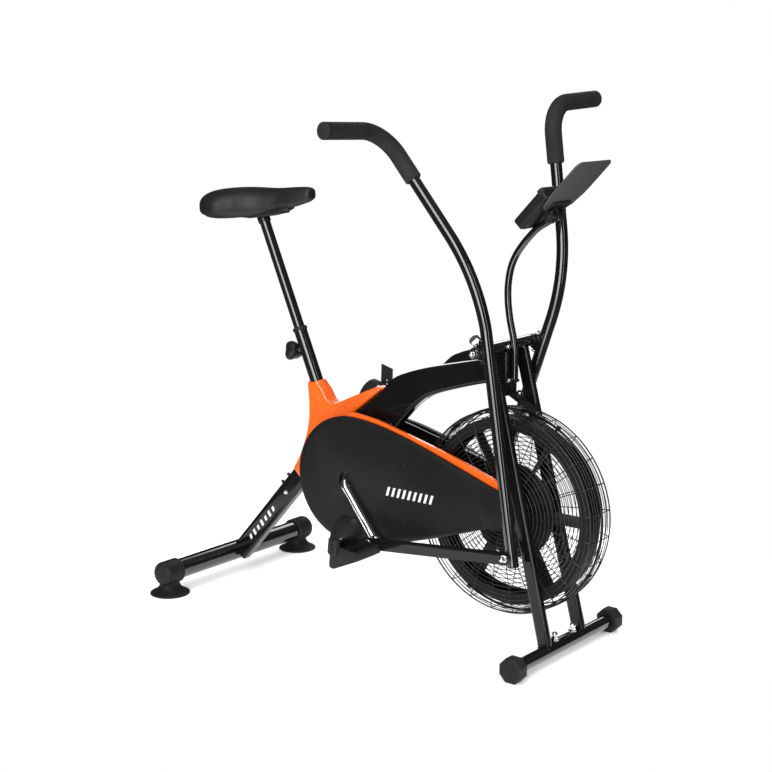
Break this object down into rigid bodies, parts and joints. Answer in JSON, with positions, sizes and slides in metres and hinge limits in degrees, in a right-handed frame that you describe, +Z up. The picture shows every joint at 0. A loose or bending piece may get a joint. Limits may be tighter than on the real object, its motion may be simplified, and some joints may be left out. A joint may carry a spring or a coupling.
{
  "type": "air bike",
  "caption": "Upright exercise bike with a caged fan wheel, swinging arm levers, strapped pedals, post-mounted saddle, small console and chain covers on a steel frame.",
  "frame": {"origin": "centre of the bounding box's base, on the floor", "axes": "+X towards the fan, which is the way the rider faces; +Y to the rider's left; +Z up"},
  "size_m": [1.1802, 0.6998, 1.2673],
  "materials": {
    "orange_paint": "glossy powder coat",
    "black_paint": "glossy powder coat",
    "cover_plastic": "satin moulded",
    "black_plastic": "fine-grained moulded",
    "grey_plastic": "fine-grained moulded",
    "rubber": "matt",
    "foam": "fine-pored foam",
    "vinyl": "grained vinyl over foam",
    "chrome": "polished",
    "steel": "turned and stamped steel",
    "screen": "clear window over a display"
  },
  "bodies": {
    "frame": {"main_frame": "orange_paint", "right_stay": "orange_paint", "top_tube": "black_paint", "head_column": "black_paint", "cross_tube": "black_paint", "right_leg": "black_paint", "left_leg": "black_paint", "right_axle_bracket": "black_paint", "left_axle_bracket": "black_paint", "left_stay": "black_paint", "front_stabilizer": "black_paint", "fork_saddle": "black_paint", "rear_leg": "black_paint", "rear_stabilizer": "black_paint", "guard_ring": "black_paint", "guard_bracket": "black_paint", "right_guard": "black_paint", "left_guard": "black_paint", "seat_tube": "black_paint", "console_post": "black_paint", "right_chain_cover": "cover_plastic", "left_chain_cover": "cover_plastic", "seat_bush": "black_plastic", "right_front_cap": "rubber", "left_front_cap": "rubber", "right_rear_cap": "rubber", "left_rear_cap": "rubber", "right_rear_foot": "rubber", "left_rear_foot": "rubber", "pivot_axle": "chrome", "axle_lock_bolt": "chrome", "right_fork_bolt": "chrome", "left_fork_bolt": "chrome", "right_bearing_cup": "steel", "left_bearing_cup": "steel", "chain": "steel"},
    "crankset": {"crank": "chrome", "chainring": "steel"},
    "right_pedal_body": {"right_pedal": "black_plastic", "right_pedal_strap": "rubber"},
    "left_pedal_body": {"left_pedal": "black_plastic", "left_pedal_strap": "rubber"},
    "right_link_bar": {"right_link": "black_paint"},
    "left_link_bar": {"left_link": "black_paint"},
    "right_handlebar": {"right_handle": "black_paint", "right_grip": "foam"},
    "left_handlebar": {"left_handle": "black_paint", "left_grip": "foam"},
    "fan": {"fan_wheel": "black_plastic", "fan_axle": "steel", "fan_sprocket": "steel"},
    "seat": {"seat_post": "black_paint", "saddle": "vinyl", "saddle_clamp": "black_paint"},
    "height_pin": {"seat_knob": "black_plastic"},
    "console": {"console_case": "black_plastic", "console_lens": "screen", "tablet_plate": "grey_plastic", "console_bracket": "black_plastic"},
    "button": {"mode_button": "black_plastic"}
  },
  "joints": [
    {"name": "crank_spin", "type": "hinge", "parent": "frame", "child": "crankset", "pos_m": [-0.0811, 0, 0.339], "axis": [0, 1, 0], "continuous": true},
    {"name": "right_pedal_spin", "type": "hinge", "parent": "crankset", "child": "right_pedal_body", "pos_m": [0.02048, -0.178, 0.20898], "axis": [0, 1, 0], "continuous": true},
    {"name": "left_pedal_spin", "type": "hinge", "parent": "crankset", "child": "left_pedal_body", "pos_m": [-0.18268, 0.178, 0.46902], "axis": [0, 1, 0], "continuous": true},
    {"name": "right_link_pivot", "type": "hinge", "parent": "crankset", "child": "right_link_bar", "pos_m": [0.02048, -0.1285, 0.20898], "axis": [0, 1, 0], "continuous": true},
    {"name": "left_link_pivot", "type": "hinge", "parent": "crankset", "child": "left_link_bar", "pos_m": [-0.18268, 0.1285, 0.46902], "axis": [0, 1, 0], "continuous": true},
    {"name": "fan_spin", "type": "hinge", "parent": "frame", "child": "fan", "pos_m": [0.3489, 0, 0.321], "axis": [0, 1, 0], "continuous": true},
    {"name": "right_handle_swing", "type": "hinge", "parent": "frame", "child": "right_handlebar", "pos_m": [0.3249, -0.111, 0.702], "axis": [0, 1, 0], "range_deg": [-6, 34]},
    {"name": "left_handle_swing", "type": "hinge", "parent": "frame", "child": "left_handlebar", "pos_m": [0.3249, 0.111, 0.702], "axis": [0, 1, 0], "range_deg": [-34, 6]},
    {"name": "seat_height", "type": "slide", "parent": "frame", "child": "seat", "axis": [-0.3955, 0, 0.9184], "range_m": [-0.14, 0.025]},
    {"name": "height_pin_pull", "type": "slide", "parent": "frame", "child": "height_pin", "axis": [-0.9184, 0, -0.3955], "range_m": [0, 0.008], "stiffness_N_per_m": 900},
    {"name": "console_tilt", "type": "hinge", "parent": "frame", "child": "console", "pos_m": [0.4569, 0, 1.004], "axis": [0, 1, 0], "range_deg": [0, 25]},
    {"name": "mode_press", "type": "slide", "parent": "console", "child": "button", "axis": [0.7193, 0, -0.6947], "range_m": [0, 0.001], "stiffness_N_per_m": 600}
  ],
  "couplings": [
    {"joint": "fan_spin", "follows": "crank_spin", "ratio": 4.3333},
    {"joint": "right_link_pivot", "follows": "crank_spin", "ratio": -1},
    {"joint": "left_link_pivot", "follows": "crank_spin", "ratio": -1},
    {"joint": "left_handle_swing", "follows": "right_handle_swing", "ratio": -1}
  ]
}
